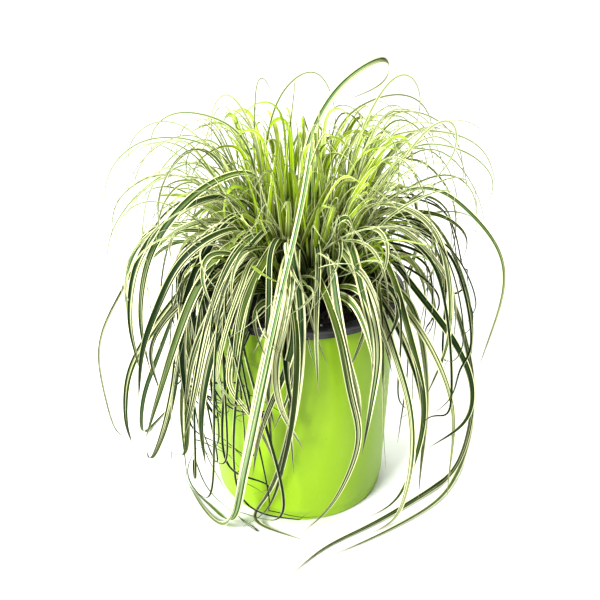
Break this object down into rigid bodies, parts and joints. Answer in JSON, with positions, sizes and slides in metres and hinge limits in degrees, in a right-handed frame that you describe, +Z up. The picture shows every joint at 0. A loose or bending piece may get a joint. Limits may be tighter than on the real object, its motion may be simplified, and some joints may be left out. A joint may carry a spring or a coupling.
{
  "type": "potted sedge",
  "caption": "Weeping variegated sedge in a black nursery pot inside a tapered lime green cover pot, its narrow striped blades arching over the rim and trailing at the foot.",
  "frame": {"origin": "centre of the cover pot's underside, on the surface it stands on", "axes": "+Z up, -Y towards the front"},
  "size_m": [0.3501, 0.2705, 0.3584],
  "materials": {
    "lime_plastic": "satin",
    "black_plastic": "satin",
    "potting_soil": "matte",
    "sedge_blade": "satin"
  },
  "bodies": {
    "root": {"cover_pot": "lime_plastic", "nursery_pot": "black_plastic", "potting_soil": "potting_soil", "shoot_01": "sedge_blade", "shoot_02": "sedge_blade", "shoot_03": "sedge_blade", "shoot_04": "sedge_blade", "shoot_05": "sedge_blade", "shoot_06": "sedge_blade", "shoot_07": "sedge_blade", "shoot_08": "sedge_blade", "shoot_09": "sedge_blade", "shoot_10": "sedge_blade", "shoot_11": "sedge_blade", "shoot_12": "sedge_blade", "shoot_13": "sedge_blade", "shoot_14": "sedge_blade", "shoot_15": "sedge_blade"}
  },
  "joints": []
}
